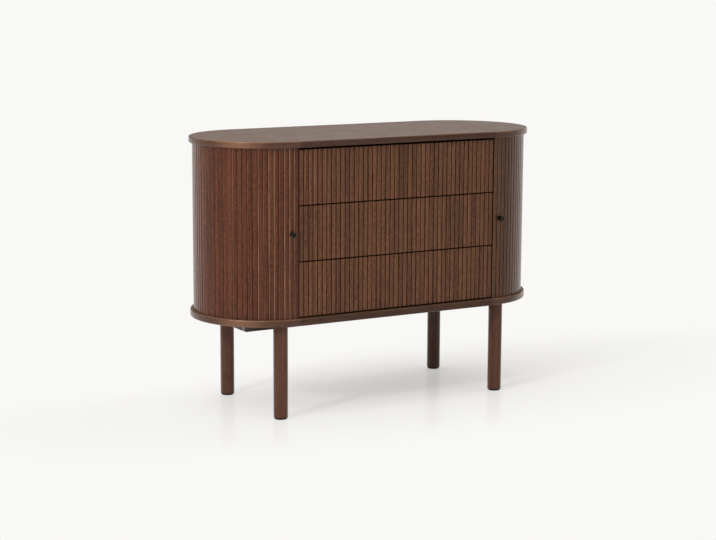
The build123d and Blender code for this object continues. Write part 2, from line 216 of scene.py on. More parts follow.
STREAK_SHARE, FIBRE_SHARE, BAND_SHARE = 0.45, 0.35, 0.20  # what each adds to the wood's shade
SLUBS = 90.0  # waves per metre of the threads' unevenness
SLUB_DEPTH = 0.0005

# Waves per metre of each pattern on each axis; the wood's grain is the last axis
SWAYS = (9, 9, 1.6)
FIBRES = (620, 620, 9)
STREAKS = (110, 110, 1.7)
BANDS = (16, 16, 1.1)
PORES = (1250, 1250, 42)
FLECKS = (270, 270, 100)
RUBBED_PATCHES = (35, 35, 7)
HAND_CLOUDS = (11, 11, 11)
BRUSH_LINES = (1500, 25, 1500)
METAL_BLOOM = (60, 60, 60)
CLOTH_FADING = (14, 14, 14)

# The same per grain of a moulded surface
MOTTLES = (0.07, 0.07, 0.07)
GRAINS = (1, 1, 1)


def wood_figure(graph: Graph, given: dict[str, Socket]) -> dict[str, Socket]:
    """Work out the figure of ring-porous wood: rings, fibres and open pores, upright along Z.

    Args:
        graph: The group's graph.
        given: Its inputs.

    Returns:
        Tone is the fibres' shade, Line the rings, Pore the pores, Fleck the short silky marks,
        Height the relief.
    """
    place = graph.vector("ADD", given["Vector"], graph.vector("SCALE", BOARD_SHIFT, given["Number"]))
    sway = graph.noise(place, SWAYS, 1)
    bend = graph.add("CombineXYZ", {0: graph.sum("MULTIPLY", sway, given["Sway"])}).outputs[0]
    bent = graph.vector("ADD", graph.vector("ADD", place, bend), given["Pith"])
    wave = {
        "Vector": graph.vector("MULTIPLY", bent, given["Run"]),
        "Scale": graph.sum("DIVIDE", RING_SCALE, given["Ring Spacing"]),
        "Distortion": 1.4,
        "Detail": 2.0,
        "Detail Scale": 1.2,
    }
    kind = {"wave_type": "RINGS", "rings_direction": "Z", "wave_profile": "SAW"}
    rings = graph.add("TexWave", wave, **kind).outputs[1]
    fibre = graph.noise(place, FIBRES, 2)
    shade = graph.sum("MULTIPLY", graph.noise(place, STREAKS, 2), STREAK_SHARE)
    shade = graph.sum("MULTIPLY_ADD", fibre, FIBRE_SHARE, shade)
    tone = graph.sum("MULTIPLY_ADD", graph.noise(place, BANDS, 1), BAND_SHARE, shade)
    pores = graph.ease(graph.noise(place, PORES, 0), 0.58, 0.70)
    pore = graph.sum("MULTIPLY", pores, graph.ease(rings, 0.0, 0.5, 1.0, 0.25))
    return {
        "Tone": graph.ease(tone, 0.30, 0.70),
        "Line": graph.ease(rings, 0.55, 1.0),
        "Pore": pore,
        "Fleck": graph.ease(graph.noise(place, FLECKS, 2), 0.36, 0.64),
        "Height": graph.sum("MULTIPLY_ADD", pore, -1.0, graph.sum("MULTIPLY", fibre, 0.4)),
    }


WOOD_FIGURE = SharedGroup(
    {
        "Vector": "Vector",
        "Number": "Float",
        "Ring Spacing": "Float",
        "Pith": "Vector",
        "Sway": "Float",
        "Run": "Vector",
    },
    {"Tone": "Float", "Line": "Float", "Pore": "Float", "Fleck": "Float", "Height": "Float"},
    wood_figure,
)


def edge_wear_and_highlight(graph: Graph, given: dict[str, Socket]) -> dict[str, Socket]:
    """Work out how pale the rounded edges are: scuffing, and on the slats and boards a painted highlight.

    Args:
        graph: The group's graph.
        given: Its inputs.

    Returns:
        Mask is 1 where an edge is scuffed pale and painted as lit.
    """
    patches = graph.ease(graph.noise(given["Vector"], RUBBED_PATCHES, 3), 0.35, 0.62)
    kept = graph.sum("SUBTRACT", 1.0, given["Patchiness"])
    share = graph.sum("MULTIPLY_ADD", patches, given["Patchiness"], kept)
    return {"Mask": graph.sum("MULTIPLY", given["Arris"], share)}


EDGE_WEAR_AND_HIGHLIGHT = SharedGroup(
    {"Vector": "Vector", "Arris": "Float", "Patchiness": "Float"}, {"Mask": "Float"}, edge_wear_and_highlight
)


def handling_marks(graph: Graph, given: dict[str, Socket]) -> dict[str, Socket]:
    """Work out the faint clouds, about a hand's size, that hands and cloths leave in a gloss.

    Args:
        graph: The group's graph.
        given: Its inputs.

    Returns:
        Value is how hazy the gloss is, 0 to 1.
    """
    clouds = graph.noise(given["Vector"], HAND_CLOUDS, 3)
    return {"Value": graph.ease(clouds, 0.35, 0.65)}


HANDLING_MARKS = SharedGroup({"Vector": "Vector"}, {"Value": "Float"}, handling_marks)


def brushed_lines(graph: Graph, given: dict[str, Socket]) -> dict[str, Socket]:
    """Work out the fine lines that rolling and brushing leave in metal.

    Args:
        graph: The group's graph.
        given: Its inputs.

    Returns:
        Value is the shade of the lines, Height their relief.
    """
    lines = graph.noise(given["Vector"], BRUSH_LINES, 2)
    bloom = graph.noise(given["Vector"], METAL_BLOOM, 3)
    value = graph.sum("MULTIPLY_ADD", lines, 0.6, graph.sum("MULTIPLY", bloom, 0.4))
    return {"Value": graph.ease(value, 0.3, 0.7), "Height": lines}


BRUSHED_LINES = SharedGroup({"Vector": "Vector"}, {"Value": "Float", "Height": "Float"}, brushed_lines)


def moulded_grain(graph: Graph, given: dict[str, Socket]) -> dict[str, Socket]:
    """Work out the fine grain of moulded or powder-coated surfaces.

    Args:
        graph: The group's graph.
        given: Its inputs.

    Returns:
        Value is a faint mottling, Height the grain.
    """
    scaled = graph.vector("SCALE", given["Vector"], given["Grains"])
    mottle = graph.noise(scaled, MOTTLES, 2)
    return {"Value": graph.ease(mottle, 0.3, 0.7), "Height": graph.noise(scaled, GRAINS, 2)}


MOULDED_GRAIN = SharedGroup(
    {"Vector": "Vector", "Grains": "Float"}, {"Value": "Float", "Height": "Float"}, moulded_grain
)


def plain_weave(graph: Graph, given: dict[str, Socket]) -> dict[str, Socket]:
    """Work out a plain weave on a UV map in metres.

    Args:
        graph: The group's graph.
        given: Its inputs.

    Returns:
        Shade is dark between the threads, Height their relief.
    """
    wobble = graph.add("TexNoise", {"Vector": given["Vector"], "Scale": SLUBS}).outputs[1]
    slub = graph.vector("SCALE", graph.vector("SUBTRACT", wobble, (0.5, 0.5, 0.5)), SLUB_DEPTH)
    parts = graph.parts(graph.vector("SCALE", graph.vector("ADD", given["Vector"], slub), given["Threads"]))
    across = graph.sum("SINE", graph.sum("MULTIPLY", parts[0], pi))
    along = graph.sum("SINE", graph.sum("MULTIPLY", parts[1], pi))
    over = graph.sum("MULTIPLY", across, along)
    lift = graph.sum("ABSOLUTE", over)
    shade = graph.sum("MULTIPLY_ADD", graph.ease(over, -0.2, 0.2), 0.3, graph.sum("MULTIPLY", lift, 0.7))
    return {"Shade": shade, "Height": lift}


PLAIN_WEAVE = SharedGroup(
    {"Vector": "Vector", "Threads": "Float"}, {"Shade": "Float", "Height": "Float"}, plain_weave
)


# Finishes


class Grain(Enum):
    """Which way a board's grain runs, as the turn that makes it upright."""

    ALONG_LENGTH = (0.0, pi / 2, 0.0)
    ALONG_DEPTH = (pi / 2, 0.0, 0.0)
    UPRIGHT = (0.0, 0.0, 0.0)


@dataclass(frozen=True)
class Finish:
    """A finish by its material's name; each kind works out its own surface."""

    name: str

    def surface(self, graph: Graph) -> dict[str, Any]:
        """Work out the surface; each kind of finish has its own way."""
        raise NotImplementedError

    @lru_cache
    def material(self) -> Material:
        """Build the material the first time it is asked for.

        Returns:
            The material, with what the surface says in its Principled shader.
        """
        material = bpy.data.materials.new(self.name)
        material.use_nodes = True
        graph = Graph(material.node_tree)
        shader = graph.add("BsdfPrincipled")
        graph.add("OutputMaterial", {"Surface": shader.outputs[0]})
        for name, value in self.surface(graph).items():
            graph.feed(shader.inputs[name], value)
        return material


@dataclass(frozen=True)
class StainedWood(Finish):
    """Ash with open pores, stained and lacquered to a satin sheen."""

    grain: Grain
    dark: Colour
    light: Colour
    pore: Colour
    # the paler colour of scuffed edges, which also paints highlights on the arrises and round the front
    # corners
    wear_and_highlight_colour: Colour
    roughness: float = 0.50
    gloss_spread: float = 0.10
    lacquer: float = 1.0  # its gloss at a glancing look
    lacquer_facing: float = 0.3  # its gloss looked at straight
    lacquer_turn: Span = (0.3, 0.7)  # between which shares of glancing it changes
    lacquer_roughness: float = 0.12
    # how far the edges take that colour, as scuffing and as painted highlight
    rub_and_highlight: float = 0.5
    least_rub_and_highlight: float = 0.5
    patchiness: float = 0.6  # how much the scuffing and painted highlight come and go
    board_variation: float = 0.12
    hue_variation: float = 0.003
    fleck: float = 0.35
    groove_shade: float = 0.5  # painted shade: how dark and dull the grooves between slats, the slat ends and the leg feet are
    ring_depth: float = 0.55
    ring_spacing: float = 0.0026
    pith: Triple = (0.0, 0.06, 0.0)  # the board's place in the trunk
    sway: float = 0.03
    run: float = 1.0  # how fast the rings' waviness changes along the grain
    pore_depth: float = 0.8
    relief: float = 0.00012
    haze: float = 0.06  # gloss of the wood under the lacquer
    corner_highlight: float = 0.0  # how strongly a highlight is painted round the two front corners
    corner_highlight_at: Span = (0.490, -0.150)  # that corner's place on the plan, where the highlight is painted
    corner_highlight_reach: float = 0.10

    def stained(self, graph: Graph, figure: Any) -> Socket:
        """Lay the stain over the figure.

        Args:
            graph: The material's graph.
            figure: The outputs of the wood's figure.

        Returns:
            The colour.
        """
        tone = graph.choice(self.fleck, figure["Tone"], figure["Fleck"])
        colour = graph.blend(self.dark, self.light, tone)
        colour = graph.blend(colour, self.dark, graph.sum("MULTIPLY", figure["Line"], self.ring_depth))
        return graph.blend(colour, self.pore, graph.sum("MULTIPLY", figure["Pore"], self.pore_depth))

    def varied(self, graph: Graph, colour: Socket, number: Socket) -> tuple[Socket, Socket]:
        """Give each board its own depth and warmth of stain, and how pale its edges are painted, as
        scuffing and highlight.

        Args:
            graph: The material's graph.
            colour: The stained colour.
            number: The board's own number.

        Returns:
            The board's colour, and how far its edges take the paler colour of scuffing and painted
            highlight.
        """
        draw = graph.add("TexWhiteNoise", {"W": number}, noise_dimensions="1D").outputs
        parts = graph.parts(draw["Color"])
        spread, warmth = self.board_variation, self.hue_variation
        level = graph.ease(parts[0], 0.0, 1.0, 1 - spread, 1 + spread)
        hue = graph.ease(parts[1], 0.0, 1.0, 0.5 - warmth, 0.5 + warmth)
        feeds = {"Hue": hue, "Saturation": 1.0, "Value": level, "Color": colour}
        wear_and_highlight_share = graph.ease(parts[2], 0.3, 1.0, self.least_rub_and_highlight, self.rub_and_highlight)
        return graph.add("HueSaturation", feeds).outputs[0], wear_and_highlight_share

    def corner(self, graph: Graph, place: Socket) -> Socket:
        """Say how strongly a highlight is painted round the two front corners.

        Args:
            graph: The material's graph.
            place: The point, in metres.

        Returns:
            The share of the paler colour painted there as highlight.
        """
        aside = graph.parts(graph.vector("ABSOLUTE", place))[0]
        spot = graph.add("CombineXYZ", {0: aside, 1: graph.parts(place)[1]}).outputs[0]
        away = graph.length(graph.vector("SUBTRACT", spot, (*self.corner_highlight_at, 0.0)))
        return graph.ease(away, 0.0, self.corner_highlight_reach, self.corner_highlight, 0.0)

    def surface(self, graph: Graph) -> dict[str, Any]:
        """Work out the wood, with its figure on Object coordinates.

        Args:
            graph: The material's graph.

        Returns:
            What goes into the shader's inputs.
        """
        raw = graph.place()
        place = graph.add("Mapping", {"Vector": raw, "Rotation": self.grain.value}).outputs[0]
        number, edge = graph.marked(NUMBER), graph.marked(ARRIS)
        # Painted shade: points marked -1 are blended towards the pore colour and lose the lacquer's gloss.
        painted_groove_shade = graph.sum("MULTIPLY", graph.sum("MINIMUM", edge, 0.0), -self.groove_shade)
        feeds = {
            "Vector": place,
            "Number": number,
            "Ring Spacing": self.ring_spacing,
            "Pith": self.pith,
            "Sway": self.sway,
            "Run": (1.0, 1.0, self.run),
        }
        figure = graph.group(WOOD_FIGURE, feeds)
        colour, wear_and_highlight_share = self.varied(graph, self.stained(graph, figure), number)
        # Paler rounded edges: scuffing, and on the slats and boards a painted highlight where the arrises
        # catch the lamps.
        feeds = {"Vector": place, "Arris": graph.sum("MAXIMUM", edge, 0.0), "Patchiness": self.patchiness}
        mask = graph.group(EDGE_WEAR_AND_HIGHLIGHT, feeds)["Mask"]
        colour = graph.blend(colour, self.wear_and_highlight_colour, graph.sum("MULTIPLY", mask, wear_and_highlight_share))
        # Painted highlight: the paler colour laid round both front corners.
        if self.corner_highlight:
            colour = graph.blend(colour, self.wear_and_highlight_colour, self.corner(graph, raw))
        clouds = graph.group(HANDLING_MARKS, {"Vector": place})["Value"]
        dull = graph.sum("MULTIPLY_ADD", clouds, 0.5, graph.sum("MULTIPLY", figure["Tone"], 0.5))
        half = self.gloss_spread / 2
        glancing = graph.add("LayerWeight", {"Blend": 0.5}).outputs["Facing"]
        coat = graph.ease(glancing, *self.lacquer_turn, self.lacquer_facing, self.lacquer)
        return {
            "Base Color": graph.blend(colour, self.pore, painted_groove_shade),
            "Roughness": graph.ease(dull, 0.0, 1.0, self.roughness - half, self.roughness + half),
            "Normal": graph.bump(figure["Height"], self.relief),
            "Specular IOR Level": self.haze,
            "Coat Weight": graph.choice(painted_groove_shade, coat, 0.0),
            "Coat Roughness": self.lacquer_roughness,
        }


@dataclass(frozen=True)
class WideBoard(StainedWood):
    """The same wood in wide boards: a straight figure and even scuffing, which on the top and base boards
    also paints the arrises' highlight.
    """

    rub_and_highlight: float = 0.22
    least_rub_and_highlight: float = 0.22
    patchiness: float = 0.0
    fleck: float = 0.15
    ring_spacing: float = 0.0045
    pith: Triple = (1.2, 0.9, 0.0)
    sway: float = 0.01
    run: float = 0.04


@dataclass(frozen=True)
class PlatedSteel(Finish):
    """Rolled metal with brush lines along the depth, bare or under a thin bright plating."""

    dark: Colour
    light: Colour
    roughness: float = 0.34
    gloss_spread: float = 0.12
    relief: float = 0.00003

    def surface(self, graph: Graph) -> dict[str, Any]:
        """Work out the metal.

        Args:
            graph: The material's graph.

        Returns:
            What goes into the shader's inputs.
        """
        lines = graph.group(BRUSHED_LINES, {"Vector": graph.place()})
        half = self.gloss_spread / 2
        return {
            "Base Color": graph.blend(self.dark, self.light, lines["Value"]),
            "Roughness": graph.ease(lines["Value"], 0, 1, self.roughness + half, self.roughness - half),
            "Normal": graph.bump(lines["Height"], self.relief),
            "Metallic": 1.0,
        }


@dataclass(frozen=True)
class FineGrained(Finish):
    """A moulded or powder-coated surface with a fine grain and paler scuffed edges, on the knob also a
    painted highlight.
    """

    dark: Colour
    light: Colour
    wear_and_highlight_colour: Colour
    roughness: float
    gloss_spread: float = 0.08
    grains: float = 2200.0
    relief: float = 0.00004
    shine: float = 0.5
    rub_and_highlight: float = 0.5
    patchiness: float = 0.8

    def surface(self, graph: Graph) -> dict[str, Any]:
        """Work out the plastic or the lacquer.

        Args:
            graph: The material's graph.

        Returns:
            What goes into the shader's inputs.
        """
        place = graph.place()
        grain = graph.group(MOULDED_GRAIN, {"Vector": place, "Grains": self.grains})
        feeds = {"Vector": place, "Arris": graph.marked(ARRIS), "Patchiness": self.patchiness}
        # Paler rounded edges: scuffing, and on the knob also a painted highlight.
        wear_and_highlight_share = graph.sum("MULTIPLY", graph.group(EDGE_WEAR_AND_HIGHLIGHT, feeds)["Mask"], self.rub_and_highlight)
        colour = graph.blend(self.dark, self.light, grain["Value"])
        half = self.gloss_spread / 2
        return {
            "Base Color": graph.blend(colour, self.wear_and_highlight_colour, wear_and_highlight_share),
            "Roughness": graph.ease(grain["Value"], 0, 1, self.roughness + half, self.roughness - half),
            "Normal": graph.bump(grain["Height"], self.relief),
            "Specular IOR Level": self.shine,
        }


@dataclass(frozen=True)
class WovenCanvas(Finish):
    """Dark cotton canvas in a plain weave, on a UV map in metres."""

    dark: Colour
    light: Colour
    threads: float = 1300.0
    fading: float = 0.35
    relief: float = 0.0002
    roughness: float = 0.9
    sheen: float = 0.2

    def surface(self, graph: Graph) -> dict[str, Any]:
        """Work out the cloth.

        Args:
            graph: The material's graph.

        Returns:
            What goes into the shader's inputs.
        """
        place = graph.add("UVMap", uv_map=WEAVE).outputs[0]
        weave = graph.group(PLAIN_WEAVE, {"Vector": place, "Threads": self.threads})
        faded = graph.ease(graph.noise(place, CLOTH_FADING, 2), 0.5, 0.8, 0.0, self.fading)
        colour = graph.blend(self.dark, self.light, weave["Shade"])
        return {
            "Base Color": graph.blend(colour, self.light, faded),
            "Normal": graph.bump(weave["Height"], self.relief),
            "Roughness": self.roughness,
            "Sheen Weight": self.sheen,
        }


# The doors' slats are one wood in two copies, painted light: the left door's, turned towards the lamps,
# redder with strong painted arris highlights and light grooves; the right door's, turned into shade, greyer
# with dark painted groove shade.
LEFT_DOOR_WOOD_LIT = StainedWood(
    "left_door_slat_ash_lit", Grain.UPRIGHT, seen(56, 25, 12), seen(111, 62, 39), seen(34, 17, 11),
    seen(206, 160, 124), rub_and_highlight=0.7, least_rub_and_highlight=0.1, board_variation=0.06, hue_variation=0.002,
    fleck=0.4, groove_shade=0.3,
)
RIGHT_DOOR_WOOD_SHADED = StainedWood(
    "right_door_slat_ash_shaded", Grain.UPRIGHT, seen(58, 34, 18), seen(114, 74, 46), seen(20, 11, 6),
    seen(180, 138, 102), least_rub_and_highlight=0.25, board_variation=0.05, groove_shade=1.0, haze=0.08,
)
DRAWER_WOOD = StainedWood(
    "drawer_slat_ash", Grain.UPRIGHT, seen(64, 34, 17), seen(130, 86, 58), seen(42, 19, 8),
    seen(160, 116, 84), rub_and_highlight=0.25, least_rub_and_highlight=0.05, board_variation=0.10, fleck=0.3, groove_shade=0.8,
    lacquer=0.2,
)
BOARD_FACE = WideBoard(
    "board_face_ash", Grain.ALONG_LENGTH, seen(34, 25, 18), seen(108, 89, 73), seen(28, 19, 14),
    seen(124, 87, 64), board_variation=0.0, lacquer=0.27, lacquer_roughness=0.26,
    rub_and_highlight=0.37, least_rub_and_highlight=0.37, fleck=0.1, pith=(-0.75, 1.2, 0.0),
)
STRAIGHT_BAND = StainedWood(
    "straight_band_ash", Grain.ALONG_LENGTH, seen(60, 39, 28), seen(86, 59, 45), seen(36, 22, 15),
    seen(112, 80, 62), board_variation=0.0, lacquer=0.8, lacquer_facing=0.2, lacquer_roughness=0.2,
)
# Painted light: a lighter copy of the straight band's wood for the half-round ends, which turn towards the
# lamps, with a painted highlight round both front corners.
CURVED_BAND_LIT = StainedWood(
    "curved_band_ash_lit", Grain.ALONG_LENGTH, seen(66, 41, 29), seen(94, 63, 46), seen(42, 24, 16),
    seen(168, 120, 90), rub_and_highlight=0.35, least_rub_and_highlight=0.35, board_variation=0.0, lacquer_facing=0.45,
    lacquer_roughness=0.22, lacquer=0.75, corner_highlight=0.35,
)
LEG_WOOD = StainedWood(
    "leg_ash", Grain.UPRIGHT, seen(66, 38, 27), seen(108, 69, 52), seen(42, 23, 15),
    seen(130, 88, 66), ring_spacing=0.0034, fleck=0.12, board_variation=0.2, groove_shade=1.0,
)
FRAME_WOOD = StainedWood(
    "underframe_ash", Grain.ALONG_LENGTH, seen(48, 34, 27), seen(66, 48, 39), seen(32, 22, 17),
    seen(90, 68, 54), roughness=0.55,
)
CARCASS_WOOD = WideBoard(
    "carcass_ash", Grain.UPRIGHT, seen(80, 54, 41), seen(123, 89, 71), seen(54, 35, 26),
    seen(150, 112, 84),
)
SHELF_WOOD = replace(CARCASS_WOOD, name="shelf_ash", grain=Grain.ALONG_DEPTH)
BOX_WOOD_DEPTH = WideBoard(
    "drawer_box_ash_depth", Grain.ALONG_DEPTH, seen(92, 64, 49), seen(122, 88, 70), seen(60, 40, 30),
    seen(158, 120, 90), rub_and_highlight=0.26, least_rub_and_highlight=0.26, fleck=0.35,
)
BOX_WOOD_LENGTH = replace(BOX_WOOD_DEPTH, name="drawer_box_ash_length", grain=Grain.ALONG_LENGTH)
# Painted shade: a darker copy of the drawer wood on the front boards' edges, for the shade in the gaps
# between the drawers.
FRONT_EDGE_SHADE = StainedWood(
    "drawer_front_edge_painted_shade", Grain.ALONG_LENGTH, seen(40, 24, 16), seen(62, 40, 29), seen(26, 14, 9),
    seen(84, 58, 44), rub_and_highlight=0.25, least_rub_and_highlight=0.25,
)
DOWEL_WOOD = StainedWood(
    "dowel_beech", Grain.UPRIGHT, seen(196, 160, 118), seen(222, 188, 146), seen(160, 122, 84),
    seen(232, 204, 168), roughness=0.6, ring_spacing=0.0012,
)
CANVAS = WovenCanvas("backing_canvas", seen(38, 32, 29), seen(72, 62, 55))
# The knob's paler rim colour in its rounding is scuffing and also a painted highlight.
KNOB_BLACK = FineGrained(
    "knob_lacquer", seen(9, 8, 8), seen(15, 14, 13), seen(70, 66, 62), 0.18, relief=0.000004,
    shine=0.15,
)
RUNNER_STEEL = PlatedSteel("runner_zinc", seen(150, 152, 156), seen(206, 208, 212))
BRIGHT_STEEL = PlatedSteel("screw_zinc", seen(160, 160, 158), seen(214, 213, 208), roughness=0.28)
INSERT_BRASS = PlatedSteel("insert_brass", seen(176, 142, 84), seen(222, 190, 124), roughness=0.3)
LATCH_PLASTIC = FineGrained("latch_nylon", seen(70, 70, 72), seen(86, 86, 88), seen(120, 120, 120), 0.5)
GLIDE_PLASTIC = FineGrained(
    "glide_nylon", seen(14, 12, 11), seen(22, 19, 17), seen(40, 36, 33), 0.6, shine=0.2
)


# Shaping


def new_shape() -> BMesh:
    """Start a shape whose points can hold a board's number and the rounded edges.

    Returns:
        The empty shape.
    """
    bm = bmesh.new()
    for name in (NUMBER, ARRIS):
        bm.verts.layers.float.new(name)
    return bm


def rounded(bm: BMesh, edges: list[BMEdge], radius: float, segments: int = 3) -> None:
    """Round edges over, and mark the middle of the rounding for paler scuffed edges and painted highlight.

    Args:
        bm: The shape.
        edges: The edges to round.
        radius: The rounding's radius.
        segments: How many faces make it.
    """
    layer = bm.verts.layers.float[ARRIS]
    made = bmesh.ops.bevel(
        bm,
        geom=edges,
        offset=radius,
        affect="EDGES",
        segments=segments,
        profile=0.5,
        material=-1,
        clamp_overlap=True,
    )
    strip = set(made["faces"])
    for vert in made["verts"]:
        if vert.is_valid and 2 * sum(face in strip for face in vert.link_faces) > len(vert.link_faces):
            vert[layer] = 1.0


def spun_arc(bm: BMesh, start: BMVert, centre: Vector, turn: float, steps: int) -> BMVert:
    """Draw an arc in the plan from a point.

    Args:
        bm: The shape.
        start: The arc's first point.
        centre: Its centre.
        turn: How far it goes round, in radians.
        steps: How many edges make it.

    Returns:
        The arc's last point.
    """
    made = bmesh.ops.spin(
        bm, geom=[start], cent=centre, axis=(0, 0, 1), angle=turn, steps=steps, use_merge=False
    )
    return next(item for item in made["geom_last"] if isinstance(item, BMVert))


def stadium(half_straight: float, radius: float, level: float, steps: int = 72) -> BMesh:
    """Make a flat face with half-round ends.

    Args:
        half_straight: Half the length of the straight sides.
        radius: The radius of the ends.
        level: The face's height.
        steps: Edges in each end.

    Returns:
        The shape, one face that looks up.
    """
    bm = new_shape()
    first = bm.verts.new((half_straight, -radius, level))
    last = spun_arc(bm, first, Vector((half_straight, 0, level)), pi, steps)
    across = bm.verts.new((-half_straight, radius, level))
    bm.edges.new((last, across))
    end = spun_arc(bm, across, Vector((-half_straight, 0, level)), pi, steps)
    bm.edges.new((end, first))
    bmesh.ops.contextual_create(bm, geom=bm.edges[:])
    bmesh.ops.recalc_face_normals(bm, faces=bm.faces)
    if next(iter(bm.faces)).normal.z < 0:
        bmesh.ops.reverse_faces(bm, faces=bm.faces)
    return bm


def lift(bm: BMesh, made: dict[str, Any], height: float) -> None:
    """Move the points that an extrusion made up by a height, or down by a negative one."""
    points = [item for item in made["geom"] if isinstance(item, BMVert)]
    bmesh.ops.translate(bm, vec=(0, 0, height), verts=points)


def turned(outline: list[Span], rounds: dict[int, float], steps: int) -> BMesh:
    """Turn an outline about the Z axis, as on a lathe.

    Args:
        outline: Radius and height of each corner, from the axis round to the axis again.
        rounds: The rounding radius of some of the corners, by their place in the outline.
        steps: Faces round the piece.

    Returns:
        The closed shape.
    """
    bm = new_shape()
    corners = [bm.verts.new((radius, 0, height)) for radius, height in outline]
    for pair in zip(corners, corners[1:]):
        bm.edges.new(pair)
    bmesh.ops.spin(
        bm, geom=bm.edges[:], cent=(0, 0, 0), axis=(0, 0, 1), angle=2 * pi, steps=steps, use_merge=True
    )
    bmesh.ops.remove_doubles(bm, verts=bm.verts, dist=MERGE)
    bmesh.ops.recalc_face_normals(bm, faces=bm.faces)
    for corner, radius in rounds.items():
        ring = outline[corner]
        rim = [edge for edge in bm.edges if all(on_ring(vert, ring) for vert in edge.verts)]
        rounded(bm, rim, radius, segments=4)
    return bm


def on_ring(vert: BMVert, ring: Span) -> bool:
    """Say whether a point of a turned shape lies on the ring of a radius and height."""
    return abs(vert.co.xy.length - ring[0]) < MERGE and abs(vert.co.z - ring[1]) < MERGE


def level_rim(bm: BMesh) -> list[BMEdge]:
    """Find a shape's sharp level edges.

    Args:
        bm: The shape.

    Returns:
        The edges.
    """
    return [
        edge
        for edge in bm.edges
        if edge.is_manifold
        and edge.calc_face_angle() > SHARP_OVER
        and abs(edge.verts[0].co.z - edge.verts[1].co.z) < MERGE
    ]


def eased_copy(node: str, radius: float) -> BMesh:
    """Copy a CAD node's shape and ease its outer edges.

    Args:
        node: The node.
        radius: The easing's radius.

    Returns:
        The shape, with flat faces whole again.
    """
    bm = new_shape()
    bm.from_mesh(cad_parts[node].data)
    bmesh.ops.remove_doubles(bm, verts=bm.verts, dist=MERGE)
    bmesh.ops.dissolve_limit(bm, angle_limit=FLAT_UNDER, verts=bm.verts, edges=bm.edges)
    shortest = 3 * radius  # a shorter edge keeps its sharpness
    edges = [
        edge
        for edge in bm.edges
        if edge.is_manifold
        and edge.is_convex
        and edge.calc_face_angle() > SHARP_OVER
        and edge.calc_length() > shortest
    ]
    rounded(bm, edges, radius, segments=2)
    return bm


def numbered(bm: BMesh, number: float, first: int = 0) -> None:
    """Give a board its own number, which picks its tone and its piece of figure.

    Args:
        bm: The shape.
        number: The number, 0 to 1.
        first: The board's first point, where the shape holds others before it.
    """
    layer = bm.verts.layers.float[NUMBER]
    for vert in bm.verts[first:]:
        vert[layer] = number


def meshed(bm: BMesh, name: str) -> Mesh:
    """Turn a shape into a mesh.

    Args:
        bm: The shape, which this uses up.
        name: The mesh's name.

    Returns:
        The mesh.
    """
    mesh = bpy.data.meshes.new(name)
    bm.to_mesh(mesh)
    bm.free()
    return mesh


def placed(name: str, data: Any) -> Object:
    """Put a mesh, a lamp or a camera into the scene.

    Args:
        name: The object's name.
        data: What it shows.

    Returns:
        The object.
    """
    made = bpy.data.objects.new(name, data)
    bpy.context.scene.collection.objects.link(made)
    return made


def finished(bm: BMesh, name: str, body: str, node: str, slot: str, *finishes: Finish) -> Object:
    """Make a shape a finished piece that rides on its body and stands for its CAD node.

    Args:
        bm: The shape, in place.
        name: The piece's name.
        body: The CAD body that it moves with.
        node: The CAD node that it stands for.
        slot: The record's material slot; not used.
        *finishes: The piece's finishes, in the order of its faces' material numbers.

    Returns:
        The piece.
    """
    mesh = meshed(bm, name)
    mesh.shade_smooth()
    mesh.set_sharp_from_angle(angle=SMOOTH_UNDER)
    for finish in finishes:
        mesh.materials.append(finish.material())
    piece = placed(name, mesh)
    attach(piece, body)
    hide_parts(node)
    log.info("%s: %d faces on %s", name, len(mesh.polygons), body)
    return piece


def painted(node: str, finish: Finish) -> None:
    """Give a CAD node that stays its finish.

    Args:
        node: The node.
        finish: Its finish.
    """
    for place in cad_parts[node].material_slots:
        place.material = finish.material()
    log.info("%s: CAD node in %s", node, finish.name)


# Sub-assemblies


